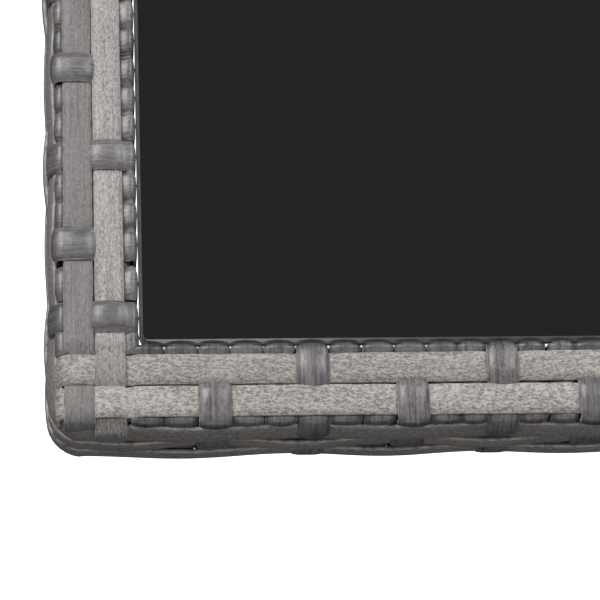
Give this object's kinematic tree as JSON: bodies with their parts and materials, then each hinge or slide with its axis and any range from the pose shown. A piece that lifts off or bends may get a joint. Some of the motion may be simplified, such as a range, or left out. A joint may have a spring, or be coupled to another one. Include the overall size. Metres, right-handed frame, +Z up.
{
  "type": "wicker coffee table",
  "caption": "Low rectangular garden table: grey woven plastic rim, drop-in black glass top, inset woven legs and aprons.",
  "frame": {"origin": "on the floor under the middle of the table", "axes": "+X along the long side, +Y from front to back, +Z up"},
  "size_m": [0.9, 0.6, 0.4],
  "materials": {
    "wicker_strand": "light grey extruded strip, satin, fine lengthwise grain",
    "wicker_wrap": "dark purple-grey extruded strip, satin, streaked",
    "glass_black": "black back-painted tempered glass, polished",
    "frame_steel": "dark grey powder coat",
    "pad_rubber": "matte black silicone",
    "foot_plastic": "moulded black plastic",
    "fastener_steel": "zinc plated",
    "bush_brass": "turned"
  },
  "bodies": {
    "table": {"rim_tube_front": "frame_steel", "rim_weave_front": "wicker_strand", "apron_top_rail_front": "frame_steel", "apron_bottom_rail_front": "frame_steel", "apron_weave_front": "wicker_strand", "rim_tube_back": "frame_steel", "rim_weave_back": "wicker_strand", "apron_top_rail_back": "frame_steel", "apron_bottom_rail_back": "frame_steel", "apron_weave_back": "wicker_strand", "rim_tube_left": "frame_steel", "rim_weave_left": "wicker_strand", "apron_top_rail_left": "frame_steel", "apron_bottom_rail_left": "frame_steel", "apron_weave_left": "wicker_strand", "rim_tube_right": "frame_steel", "rim_weave_right": "wicker_strand", "apron_top_rail_right": "frame_steel", "apron_bottom_rail_right": "frame_steel", "apron_weave_right": "wicker_strand", "cross_rail_left": "frame_steel", "cross_rail_right": "frame_steel", "glass_pads": "pad_rubber", "post_tube_front_left": "frame_steel", "post_weave_front_left": "wicker_strand", "gusset_plate_front_left": "frame_steel", "foot_insert_front_left": "foot_plastic", "post_tube_front_right": "frame_steel", "post_weave_front_right": "wicker_strand", "gusset_plate_front_right": "frame_steel", "foot_insert_front_right": "foot_plastic", "post_tube_back_left": "frame_steel", "post_weave_back_left": "wicker_strand", "gusset_plate_back_left": "frame_steel", "foot_insert_back_left": "foot_plastic", "post_tube_back_right": "frame_steel", "post_weave_back_right": "wicker_strand", "gusset_plate_back_right": "frame_steel", "foot_insert_back_right": "foot_plastic", "base_bolts": "fastener_steel", "base_washers": "fastener_steel", "cross_rail_nuts": "fastener_steel", "foot_bushes": "bush_brass"},
    "glass": {"glass_top": "glass_black"},
    "foot_front_left": {"foot_pad_front_left": "foot_plastic", "foot_stud_front_left": "fastener_steel"},
    "foot_front_right": {"foot_pad_front_right": "foot_plastic", "foot_stud_front_right": "fastener_steel"},
    "foot_back_left": {"foot_pad_back_left": "foot_plastic", "foot_stud_back_left": "fastener_steel"},
    "foot_back_right": {"foot_pad_back_right": "foot_plastic", "foot_stud_back_right": "fastener_steel"}
  },
  "joints": [
    {"name": "glass_lift", "type": "slide", "parent": "table", "child": "glass", "axis": [0, 0, 1], "range_m": [0, 0.1]},
    {"name": "foot_front_left_level", "type": "slide", "parent": "table", "child": "foot_front_left", "axis": [0, 0, -1], "range_m": [0, 0.012]},
    {"name": "foot_front_right_level", "type": "slide", "parent": "table", "child": "foot_front_right", "axis": [0, 0, -1], "range_m": [0, 0.012]},
    {"name": "foot_back_left_level", "type": "slide", "parent": "table", "child": "foot_back_left", "axis": [0, 0, -1], "range_m": [0, 0.012]},
    {"name": "foot_back_right_level", "type": "slide", "parent": "table", "child": "foot_back_right", "axis": [0, 0, -1], "range_m": [0, 0.012]}
  ]
}
